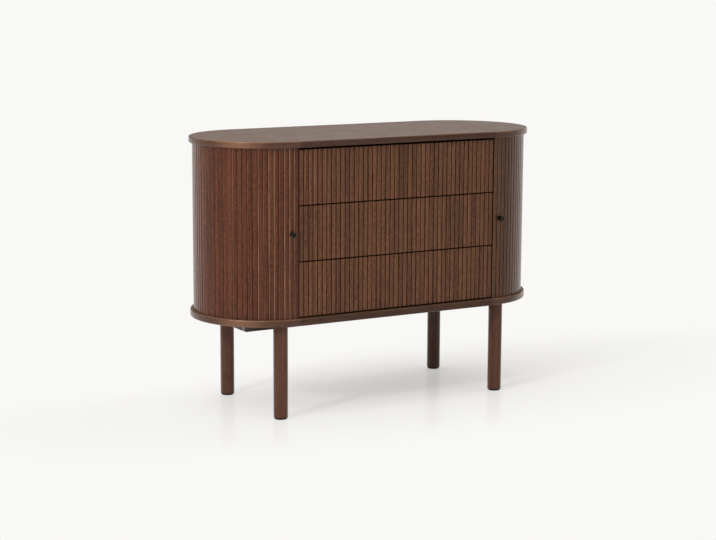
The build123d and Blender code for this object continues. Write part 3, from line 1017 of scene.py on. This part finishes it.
@dataclass(frozen=True)
class Form:
    """The cabinet's main sizes, worked out from the frame and the slats."""

    half_straight: float
    board_radius: float
    slat_inset: float = 0.010
    slat_pitch: float = 0.015
    slat_thickness: float = 0.0075
    slat_end_ease: float = 0.0004
    slat_unevenness: float = 0.00045  # how far out single slats may stand
    slat_out: Span = (0.2, 0.6)  # the least share of it, and how much more at random
    slat_twist: float = 0.6  # how far one edge of a slat stands out over the other, as a share of it
    slat_arris: float = 0.0035
    slat_segments: int = 6
    wear_and_highlight_from: float = 0.1  # where on the rounding the scuffing and painted highlight start, as a share of its depth
    groove_shade_from: float = 0.45  # where on the rounding the painted shade of the grooves starts, as a share of its depth
    trailing_wear_and_highlight: float = 0.2  # scuffing and painted highlight of a slat's right arris, which turns away from the key lamp, as a share of its left one's

    @classmethod
    def read(cls) -> "Form":
        """Read the boards' sizes from the frame.

        Returns:
            The form.
        """
        low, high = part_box("top_panel")
        radius = (high.y - low.y) / 2
        return cls(half_straight=high.x - radius, board_radius=radius)

    @property
    def slat_radius(self) -> float:
        """Radius of the doors' faces about the ends' centres."""
        return self.board_radius - self.slat_inset

    def uneven(self, draw: Random) -> tuple[float, float]:
        """Pick how a single slat sits on its backing.

        Args:
            draw: Where the choice comes from.

        Returns:
            How far it stands out, and its turn about its own upright axis, in radians.
        """
        twist = (draw.random() - 0.5) * self.slat_twist * self.slat_unevenness / self.slat_pitch
        least, more = self.slat_out
        return (least + more * draw.random()) * self.slat_unevenness, twist

    def slat(self, width: float, height: float) -> Mesh:
        """Make one slat whose face looks along +X at the origin, standing on the plan.

        Args:
            width: Its width.
            height: Its height.

        Returns:
            A mesh to place as often as needed.
        """
        bm = new_shape()
        bmesh.ops.create_cube(bm, size=1)
        bmesh.ops.scale(bm, vec=(self.slat_thickness, width, height), verts=bm.verts)
        bmesh.ops.translate(bm, vec=(-self.slat_thickness / 2, 0, height / 2), verts=bm.verts)
        long_edges = [
            edge
            for edge in bm.edges
            if all(abs(vert.co.x) < MERGE for vert in edge.verts) and edge.calc_length() > width + MERGE
        ]
        rounded(bm, long_edges, self.slat_arris, self.slat_segments)
        layer = bm.verts.layers.float[ARRIS]
        # Marks for painted light: the deep part of each rounding is painted shade between the slats, the
        # rest paler for scuffing and a painted highlight, weaker on the right arris, which turns away from
        # the key lamp.
        for vert in bm.verts:
            depth = -vert.co.x / self.slat_arris
            arris_wear_and_highlight = self.trailing_wear_and_highlight if vert.co.y > 0 else 1.0
            vert[layer] = -1.0 if depth > self.groove_shade_from else arris_wear_and_highlight * (depth > self.wear_and_highlight_from)
        back = -self.slat_thickness + MERGE
        rim = [edge for edge in level_rim(bm) if min(vert.co.x for vert in edge.verts) > back]
        rounded(bm, rim, self.slat_end_ease, segments=1)
        # Painted shade: the slat's ends are marked -1 and so darkened, for the gaps above and below the
        # slats.
        for vert in bm.verts:
            if min(vert.co.z, height - vert.co.z) < MERGE:
                vert[layer] = -1.0
        return meshed(bm, "slat")


def place_copy(bm: BMesh, mesh: Mesh, turn: float, place: Vector, number: float = 0.5) -> None:
    """Add a copy of a mesh to a shape.

    Args:
        bm: The shape.
        mesh: What is copied.
        turn: Its turn about Z, in radians.
        place: Where its origin goes.
        number: The copy's own number.
    """
    count = len(bm.verts)
    bm.from_mesh(mesh)
    bm.verts.ensure_lookup_table()
    matrix = Matrix.Translation(place) @ Matrix.Rotation(turn, 4, "Z")
    bmesh.ops.transform(bm, matrix=matrix, verts=bm.verts[count:])
    numbered(bm, number, count)


@dataclass(frozen=True)
class Boards:
    """The top and base boards, with the doors' track let into them."""

    form: Form
    arris: float = 0.003
    arris_segments: int = 5
    flat_from: float = 0.95  # a face that looks up or down less than this belongs to the edge band
    lower_wear_and_highlight: float = 0.15  # scuffing and painted highlight of the lower arris, which faces away from the lamps, as a share of the upper one's
    margin: float = 0.001
    track_play: float = 0.0005
    track_depth: float = 0.006

    def board(self, node: str, track_below: bool) -> BMesh:
        """Shape one board.

        Args:
            node: Its CAD node.
            track_below: True where the track is in its underside.

        Returns:
            The shape.
        """
        low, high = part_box(node)
        form = self.form
        bm = stadium(form.half_straight, form.board_radius, low.z)
        lift(bm, bmesh.ops.extrude_face_region(bm, geom=bm.faces[:], use_keep_orig=True), high.z - low.z)
        bmesh.ops.recalc_face_normals(bm, faces=bm.faces)
        rounded(bm, level_rim(bm), self.arris, self.arris_segments)
        layer = bm.verts.layers.float[ARRIS]
        # The lower arris takes less of the paler colour: its painted highlight is weaker, facing away from
        # the lamps.
        for vert in bm.verts:
            if vert.co.z < (low.z + high.z) / 2:
                vert[layer] *= self.lower_wear_and_highlight
        for level in (low.z, high.z):
            face = self.flat_face(bm, level)
            bmesh.ops.inset_region(bm, faces=[face], thickness=self.margin, use_even_offset=True)
        level, sink = (low.z, 1) if track_below else (high.z, -1)
        self.track(bm, self.flat_face(bm, level), sink)
        return bm

    def banded(self, bm: BMesh) -> None:
        """Mark the faces round the edge as straight or curved edge band.

        Args:
            bm: The board's shape, with its faces' material number still 0.
        """
        bm.normal_update()
        for face in bm.faces:
            middle = face.calc_center_median()
            past = max(abs(middle.x) - self.form.half_straight, 0.0)
            rim = Vector((past, middle.y)).length > self.form.board_radius - self.arris
            if rim and abs(face.normal.z) < self.flat_from:
                # The half-round ends take the lighter copy of the band: painted light.
                face.material_index = 2 if past > MERGE else 1

    def flat_face(self, bm: BMesh, level: float) -> BMFace:
        """Find a shape's largest face at a height."""
        flat = [f for f in bm.faces if all(abs(vert.co.z - level) < MERGE for vert in f.verts)]
        return max(flat, key=BMFace.calc_area)

    def track(self, bm: BMesh, face: BMFace, sink: int) -> None:
        """Cut the doors' track into a face: round both ends and along the rear.

        Args:
            bm: The shape.
            face: The board's flat face.
            sink: 1 if the track goes up into the board, -1 if it goes down.
        """
        form = self.form
        to_track = form.slat_inset - self.track_play - self.arris - self.margin
        width = form.slat_thickness + 2 * self.track_play
        bmesh.ops.inset_region(bm, faces=[face], thickness=to_track, use_even_offset=True)
        level = face.verts[0].co.z
        face = self.flat_face(bm, level)
        ring = bmesh.ops.inset_region(bm, faces=[face], thickness=width, use_even_offset=True)["faces"]
        floor = [
            f
            for f in ring
            if not (f.calc_center_median().y < 0 and abs(f.calc_center_median().x) < form.half_straight / 2)
        ]
        lift(bm, bmesh.ops.extrude_face_region(bm, geom=floor), sink * self.track_depth)

    def build(self) -> None:
        """Make both boards, each with its own number."""
        finishes = (BOARD_FACE, STRAIGHT_BAND, CURVED_BAND_LIT)
        for name, below, number in (("top", True, 0.5), ("base", False, 0.2)):
            bm = self.board(f"{name}_panel", below)
            numbered(bm, number)
            self.banded(bm)
            finished(bm, f"{name}_board", "cabinet", f"{name}_panel", "board_wood", *finishes)


@dataclass(frozen=True)
class Legs:
    """Four turned legs with their glides."""

    foot_radius: float = 0.003
    top_ease: float = 0.0006
    glide_radius: float = 0.018
    glide_ease: float = 0.001
    spigot_radius: float = 0.003
    spigot_length: float = 0.012
    steps: int = 64
    corners: tuple[tuple[str, float], ...] = (
        ("front_left", 0.13), ("front_right", 0.14), ("rear_left", 0.37), ("rear_right", 0.15),
    )  # each leg's name and number; the number picks the leg's stain tone, set so each tone follows how the leg is lit: painted light and shade

    def build(self) -> None:
        """Make the legs and their glides."""
        glides = new_shape()
        for corner, number in self.corners:
            node = f"{corner}_leg"
            low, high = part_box(node)
            centre, radius = (low + high) / 2, (high.x - low.x) / 2
            outline = [(0, low.z), (radius, low.z), (radius, high.z), (0, high.z)]
            leg = turned(outline, {1: self.foot_radius, 2: self.top_ease}, self.steps)
            bmesh.ops.translate(leg, vec=(centre.x, centre.y, 0), verts=leg.verts)
            numbered(leg, number)
            # Painted shade: the foot's rounding is marked -1, and so painted dark and dull for the shade
            # where the leg meets its glide.
            layer = leg.verts.layers.float[ARRIS]
            for vert in leg.verts:
                if vert.co.z < low.z + self.foot_radius - MERGE:
                    vert[layer] = -1.0
            finished(leg, f"{corner}_turned_leg", "cabinet", node, "leg_wood", LEG_WOOD)
            self.add_glide(glides, Vector((centre.x, centre.y, 0)), low.z)
        finished(glides, "nylon_glides", "cabinet", "leg_glides", "glide_plastic", GLIDE_PLASTIC)

    def add_glide(self, glides: BMesh, place: Vector, height: float) -> None:
        """Add one glide under a leg.

        Args:
            glides: The shape that holds all glides.
            place: The leg's centre on the floor.
            height: The glide's height.
        """
        tip = height + self.spigot_length
        outline = [
            (0, 0),
            (self.glide_radius, 0),
            (self.glide_radius, height),
            (self.spigot_radius, height),
            (self.spigot_radius, tip),
            (0, tip),
        ]
        glide = turned(outline, {1: self.glide_ease}, self.steps // 2)
        place_copy(glides, meshed(glide, "glide"), 0, place)


class Side(Enum):
    """The cabinet's two ends, by the direction of X that each looks to."""

    LEFT = -1
    RIGHT = 1


@dataclass(frozen=True)
class TambourDoor:
    """A sliding door of upright slats on canvas, with a lead rail and a knob."""

    form: Form
    side: Side
    finish: StainedWood
    seed: int
    side_gap: float = 0.002
    slats: int = 29
    slat_width: float = 0.0146
    knob_slat: int = 1
    canvas_gap: float = 0.0001
    canvas_thickness: float = 0.0008
    knob_radius: float = 0.0075
    knob_length: float = 0.018
    knob_edge: float = 0.002
    knob_rear_edge: float = 0.0006
    knob_steps: int = 48
    neck_radius: float = 0.006
    neck_length: float = 0.003
    arc_steps: int = 58
    rail_ease: float = 0.0008
    rail_number: float = 0.4

    @property
    def name(self) -> str:
        """Name of the door's side, which its pieces' names start with."""
        return self.side.name.lower()

    @property
    def body(self) -> str:
        """The CAD body."""
        return f"{self.name}_door"

    @property
    def centre(self) -> Vector:
        """Centre of the end curve on the plan."""
        return Vector((self.side.value * self.form.half_straight, 0, 0))

    @property
    def start(self) -> float:
        """Where the door starts, in radians round from the front."""
        return self.side_gap / 2 / self.form.slat_radius

    @property
    def step(self) -> float:
        """How far round one slat goes, in radians."""
        return self.form.slat_pitch / self.form.slat_radius

    def facing(self, turn: float) -> float:
        """Angle from +X that the door faces at a turn round from the front, both in radians."""
        return -pi / 2 + self.side.value * turn

    def spot(self, turn: float, radius: float, level: float) -> Vector:
        """Find the point at a turn round from the front, a radius from the centre and a height."""
        angle = self.facing(turn)
        return self.centre + Vector((radius * cos(angle), radius * sin(angle), level))

    def add_slats(self) -> None:
        """Make the slats, each from its own stretch of wood."""
        node = f"{self.body}_slats"
        low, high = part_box(node)
        slat = self.form.slat(self.slat_width, high.z - low.z)
        bm = new_shape()
        draw = Random(self.seed)
        for index in range(self.slats):
            turn = self.start + (index + 0.5) * self.step
            out, twist = self.form.uneven(draw)
            place = self.spot(turn, self.form.slat_radius + out, low.z)
            place_copy(bm, slat, self.facing(turn) + twist, place, draw.random())
        finished(bm, f"{self.name}_tambour_slats", self.body, node, "slat_wood", self.finish)

    def add_canvas(self) -> None:
        """Make the canvas that joins the slats, with its weave on a UV map in metres."""
        node = f"{self.body}_canvas"
        low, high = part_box(node)
        radius = self.form.slat_radius - self.form.slat_thickness - self.canvas_gap
        span = self.slats * self.step
        bm = new_shape()
        first = bm.verts.new(self.spot(self.start, radius, low.z))
        spun_arc(bm, first, self.centre + Vector((0, 0, low.z)), self.side.value * span, self.arc_steps)
        lift(bm, bmesh.ops.extrude_edge_only(bm, edges=bm.edges[:]), high.z - low.z)
        bmesh.ops.recalc_face_normals(bm, faces=bm.faces)
        outward = self.spot(self.start, 1, 0) - self.centre
        if min(bm.faces, key=lambda f: f.calc_center_median().y).normal.dot(outward) < 0:
            bmesh.ops.reverse_faces(bm, faces=bm.faces)
        uv = bm.loops.layers.uv.new(WEAVE)
        for face in bm.faces:
            for loop in face.loops:
                offset = loop.vert.co - self.centre
                turn = self.side.value * Vector((0, -1)).angle_signed(offset.xy, 0)
                loop[uv].uv = (radius * -turn, loop.vert.co.z)
        bmesh.ops.solidify(bm, geom=bm.faces[:], thickness=self.canvas_thickness)
        canvas = finished(bm, f"{self.name}_backing_canvas", self.body, node, "canvas_cloth", CANVAS)
        f"{self.body}_slats"

    def add_knob(self) -> None:
        """Make the turned knob."""
        node = f"{self.name}_knob"
        low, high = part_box(node)
        outline = [
            (0, 0),
            (self.neck_radius, 0),
            (self.neck_radius, self.neck_length),
            (self.knob_radius, self.neck_length),
            (self.knob_radius, self.knob_length),
            (0, self.knob_length),
        ]
        knob = turned(outline, {3: self.knob_rear_edge, 4: self.knob_edge}, self.knob_steps)
        turn = self.start + (self.knob_slat + 0.5) * self.step
        place = self.spot(turn, self.form.slat_radius, (low.z + high.z) / 2)
        lay_down = Matrix.Rotation(pi / 2, 4, "Y")
        matrix = Matrix.Translation(place) @ Matrix.Rotation(self.facing(turn), 4, "Z") @ lay_down
        bmesh.ops.transform(knob, matrix=matrix, verts=knob.verts)
        finished(knob, f"{self.name}_turned_knob", self.body, node, "knob_black", KNOB_BLACK)

    def build(self) -> None:
        """Make the whole door."""
        self.add_slats()
        self.add_canvas()
        self.add_knob()
        node = f"{self.name}_lead_rail"
        rail = eased_copy(node, self.rail_ease)
        numbered(rail, self.rail_number)
        finished(rail, f"{self.name}_pull_rail", self.body, node, "carcass_wood", CARCASS_WOOD)
        painted(f"{self.name}_knob_screw", BRIGHT_STEEL)


@dataclass(frozen=True)
class Drawer:
    """A drawer: a slatted front on a board, a box and the inner channels of its runners."""

    form: Form
    name: str
    slat_width: float = 0.0140
    ease: float = 0.0012
    facing_front: float = 0.9  # a face turned further than this from the front is an edge

    @property
    def body(self) -> str:
        """The CAD body."""
        return f"{self.name}_drawer"

    def add_slats(self, draw: Random) -> None:
        """Make the front's slats; the outer ones are narrower.

        Args:
            draw: Where the slats' numbers come from.
        """
        form = self.form
        node = f"{self.body}_slats"
        low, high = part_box(node)
        count = 2 * round(form.half_straight / form.slat_pitch)
        bm = new_shape()
        height = high.z - low.z
        whole = form.slat(self.slat_width, height)
        for index in range(count):
            centre = (index - (count - 1) / 2) * form.slat_pitch
            left = max(centre - self.slat_width / 2, low.x)
            right = min(centre + self.slat_width / 2, high.x)
            cut = right - left < self.slat_width - MERGE
            slat = form.slat(right - left, height) if cut else whole
            out, twist = form.uneven(draw)
            place = Vector(((left + right) / 2, low.y - out, low.z))
            place_copy(bm, slat, -pi / 2 + twist, place, draw.random())
        finished(bm, f"{self.name}_front_slats", self.body, node, "slat_wood", DRAWER_WOOD)

    def add_board(self, part: str, number: float, *finishes: Finish) -> None:
        """Make one board of the drawer from its CAD node.

        Args:
            part: The node's name after the drawer's.
            number: Its own number.
            *finishes: Its finish, and where a second is given, a darker one for the faces that don't face
                       the front: on the front board, painted shade for the gaps between the drawers.
        """
        node = f"{self.body}_{part}"
        bm = eased_copy(node, self.ease)
        numbered(bm, number)
        # The front board's edges take the second, darker finish: painted shade for the gaps between the
        # drawers.
        if len(finishes) > 1:
            bm.normal_update()
            for face in bm.faces:
                face.material_index = int(abs(face.normal.y) < self.facing_front)
        finished(bm, f"{self.name}_{part}_board", self.body, node, "drawer_wood", *finishes)

    def build(self) -> None:
        """Make the whole drawer."""
        draw = Random(f"{self.name} drawer")
        self.add_slats(draw)
        for part, *finishes in (
            ("front", BOX_WOOD_LENGTH, FRONT_EDGE_SHADE),
            ("left_side", BOX_WOOD_DEPTH),
            ("right_side", BOX_WOOD_DEPTH),
            ("back", BOX_WOOD_LENGTH),
            ("bottom", BOX_WOOD_LENGTH),
        ):
            self.add_board(part, draw.random(), *finishes)
        painted(f"{self.body}_runners", RUNNER_STEEL)
        painted(f"{self.name}_runner_middles", RUNNER_STEEL)
        painted(f"{self.name}_latch_plunger", LATCH_PLASTIC)


@dataclass(frozen=True)
class Carcass:
    """Partitions, backs, liners, shelves and underframe, and the small hidden hardware."""

    ease: float = 0.001
    first_number: float = 0.07
    number_step: float = 0.09

    def build(self) -> None:
        """Make the carcass."""
        boards = (
            ("left_partition", "carcass_wood", CARCASS_WOOD),
            ("right_partition", "carcass_wood", CARCASS_WOOD),
            ("inner_back_panel", "carcass_wood", CARCASS_WOOD),
            ("back_panel", "carcass_wood", CARCASS_WOOD),
            ("left_rear_liner", "carcass_wood", CARCASS_WOOD),
            ("right_rear_liner", "carcass_wood", CARCASS_WOOD),
            ("left_shelf", "carcass_wood", SHELF_WOOD),
            ("right_shelf", "carcass_wood", SHELF_WOOD),
            ("underframe_long_rails", "underframe_wood", FRAME_WOOD),
            ("underframe_cross_rails", "underframe_wood", FRAME_WOOD),
        )
        for count, (node, slot, finish) in enumerate(boards):
            bm = eased_copy(node, self.ease)
            numbered(bm, self.first_number + self.number_step * count)
            finished(bm, f"{node}_eased", "cabinet", node, slot, finish)
        for node, finish in (
            ("carcass_dowels", DOWEL_WOOD),
            ("shelf_pins", BRIGHT_STEEL),
            ("leg_studs", BRIGHT_STEEL),
            ("leg_inserts", INSERT_BRASS),
            ("cabinet_runners", RUNNER_STEEL),
            ("latch_housings", LATCH_PLASTIC),
        ):
            painted(node, finish)


# Studio


@dataclass(frozen=True)
class Viewpoint:
    """The photograph's camera."""

    eye: Triple = (-2.7115, -4.6101, 1.2788)
    heading: float = 30.325  # degrees from +Y towards +X
    dip: float = 9.567  # degrees below the horizon
    tilt: float = 0.266
    lens: float = 90.13  # mm, as is the sensor
    sensor: float = 36.0

    def build(self) -> None:
        """Place the camera."""
        data = bpy.data.cameras.new("camera")
        data.lens = self.lens
        data.sensor_width = self.sensor
        camera = placed("camera", data)
        level = Matrix.Rotation(-radians(self.heading), 4, "Z")
        dipped = Matrix.Rotation(pi / 2 - radians(self.dip), 4, "X")
        tilted = Matrix.Rotation(radians(self.tilt), 4, "Z")
        camera.matrix_world = Matrix.Translation(self.eye) @ level @ dipped @ tilted
        bpy.context.scene.camera = camera


@dataclass(frozen=True)
class Glow:
    """Soft light from one side of the studio."""

    side: Triple  # about one long
    strength: float
    start: float = -0.2  # how far to its side a direction starts to glow


@dataclass(frozen=True)
class Lamp:
    """A square soft lamp that points at the cabinet."""

    name: str
    heading: float  # where it stands, in degrees from +Y towards +X
    height: float  # degrees above the level
    distance: float
    size: float
    watts: float


@dataclass(frozen=True)
class Studio:
    """A pale floor that runs into a pale background, and soft light mostly from the left."""

    background: Colour = seen(249, 248, 246)
    floor_colour: Colour = (0.86, 0.855, 0.845)
    floor_radius: float = 40.0
    floor_sides: int = 64
    floor_lit: float = 0.57  # how much of the floor's own shading shows beside the cabinet
    floor_gloss: float = 0.12
    floor_roughness: float = 0.22
    shaded_centre: Triple = (0.26, 0.06, 0.0)
    shaded_size: Triple = (1.46, 0.63, 1.0)
    shading_fades: Span = (0.0, 1.0)  # as shares of that size
    gloss_fades: Span = (0.6, 1.15)
    gloss_ends: Span = (0.15, 0.45)  # where the gloss fades behind the cabinet, in metres
    glows: tuple[Glow, ...] = (
        Glow((-0.94, 0.0, 0.34), 0.05),
        Glow((0.0, -0.94, 0.34), 0.24),
        Glow((0.94, 0.0, 0.34), 0.50),
        Glow((0.0, 0.94, 0.34), 0.85),
        Glow((0.0, 0.0, 1.0), 0.20),
    )
    wall_side: Triple = (1.0, 0.0, 0.0)
    wall_fades: Span = (0.10, 0.55)  # how far to that side its mirror image comes in
    roof_fades: Span = (0.10, 0.45)
    room_mirrored: float = 0.2
    lamps: tuple[Lamp, ...] = (
        Lamp("key", 248, 28, 4.0, 0.36, 56.0),
        Lamp("upper_key", 248, 57, 3.6, 1.6, 30.0),
        Lamp("roof", 248, 85, 3.2, 2.0, 25.0),
    )
    aim: Triple = (0.0, 0.0, 0.4)

    def world(self) -> None:
        """Make the surroundings: seen and mirrored as a pale wall, lighting at their own level."""
        world = bpy.data.worlds.new("studio")
        world.use_nodes = True
        bpy.context.scene.world = world
        graph = Graph(world.node_tree)
        path = graph.add("LightPath").outputs
        ray = graph.add("TexCoord").outputs["Generated"]
        lighting = 0.0
        for glow in self.glows:
            share = graph.ease(graph.reach(ray, glow.side), glow.start, 1.0)
            lighting = graph.sum("MULTIPLY_ADD", share, glow.strength, lighting)
        beside = graph.ease(graph.reach(ray, self.wall_side), *self.wall_fades)
        above = graph.ease(graph.reach(ray, (0.0, 0.0, 1.0)), *self.roof_fades, 1.0, self.room_mirrored)
        mirrored = graph.choice(beside, self.room_mirrored, above)
        seen_straight = graph.sum("MAXIMUM", path["Is Camera Ray"], path["Is Transmission Ray"])
        strength = graph.choice(path["Is Glossy Ray"], lighting, mirrored)
        strength = graph.choice(seen_straight, strength, 1.0)
        shader = graph.add("Background", {"Color": self.background, "Strength": strength})
        graph.add("OutputWorld", {"Surface": shader.outputs[0]})

    def floor(self) -> None:
        """Make the floor, which keeps the shadows near the cabinet and clears further out."""
        bm = bmesh.new()
        bmesh.ops.create_circle(bm, cap_ends=True, segments=self.floor_sides, radius=self.floor_radius)
        floor = placed("floor", meshed(bm, "floor"))
        material = bpy.data.materials.new("studio_floor")
        material.use_nodes = True
        graph = Graph(material.node_tree)
        place = graph.place()
        offset = graph.vector("SUBTRACT", place, self.shaded_centre)
        away = graph.length(graph.vector("DIVIDE", offset, self.shaded_size))
        path = graph.add("LightPath").outputs
        looked_at = graph.sum("MAXIMUM", path["Is Camera Ray"], path["Is Glossy Ray"])
        clear = graph.ease(away, *self.shading_fades, 1 - self.floor_lit, 1.0)
        share = graph.sum("MULTIPLY", clear, looked_at)
        lit = graph.add("BsdfDiffuse", {"Color": self.floor_colour})
        plain = graph.add("Emission", {"Color": self.background, "Strength": 1.0})
        matt = graph.add("MixShader", {0: share, 1: lit.outputs[0], 2: plain.outputs[0]})
        gloss = graph.add("BsdfGlossy", {"Color": (1, 1, 1), "Roughness": self.floor_roughness})
        sheen = graph.ease(away, *self.gloss_fades, self.floor_gloss, 0.0)
        depth = graph.parts(place)[1]
        sheen = graph.sum("MULTIPLY", sheen, graph.ease(depth, *self.gloss_ends, 1.0, 0.0))
        sheen = graph.sum("MULTIPLY", sheen, path["Is Camera Ray"])
        shader = graph.add("MixShader", {0: sheen, 1: matt.outputs[0], 2: gloss.outputs[0]})
        graph.add("OutputMaterial", {"Surface": shader.outputs[0]})
        floor.data.materials.append(material)

    def hang(self, lamp: Lamp) -> None:
        """Hang a soft lamp and point it at the cabinet.

        Args:
            lamp: The lamp.
        """
        data = bpy.data.lights.new(lamp.name, "AREA")
        data.shape = "SQUARE"
        data.size = lamp.size
        data.energy = lamp.watts
        light = placed(lamp.name, data)
        heading, height = radians(lamp.heading), radians(lamp.height)
        level = lamp.distance * cos(height)
        offset = Vector((level * sin(heading), level * cos(heading), lamp.distance * sin(height)))
        turned_to = (-offset).to_track_quat("-Z", "Y").to_matrix().to_4x4()
        light.matrix_world = Matrix.Translation(Vector(self.aim) + offset) @ turned_to

    def build(self) -> None:
        """Make the whole studio."""
        self.world()
        self.floor()
        for lamp in self.lamps:
            self.hang(lamp)


def main() -> None:
    """Build the cabinet and its studio."""
    logging.basicConfig(level=logging.INFO, format="%(name)s: %(message)s")
    bpy.context.scene.view_settings.view_transform = "Standard"
    form = Form.read()
    Boards(form).build()
    Legs().build()
    TambourDoor(form, Side.LEFT, LEFT_DOOR_WOOD_LIT, seed=11).build()
    # The right door turns into shade: its form paints the grooves' shade from further out on each rounding.
    TambourDoor(replace(form, groove_shade_from=0.28), Side.RIGHT, RIGHT_DOOR_WOOD_SHADED, seed=12).build()
    for name in ("bottom", "middle", "top"):
        Drawer(form, name).build()
    Carcass().build()
    Studio().build()
    Viewpoint().build()


if __name__ == "__main__":
    main()
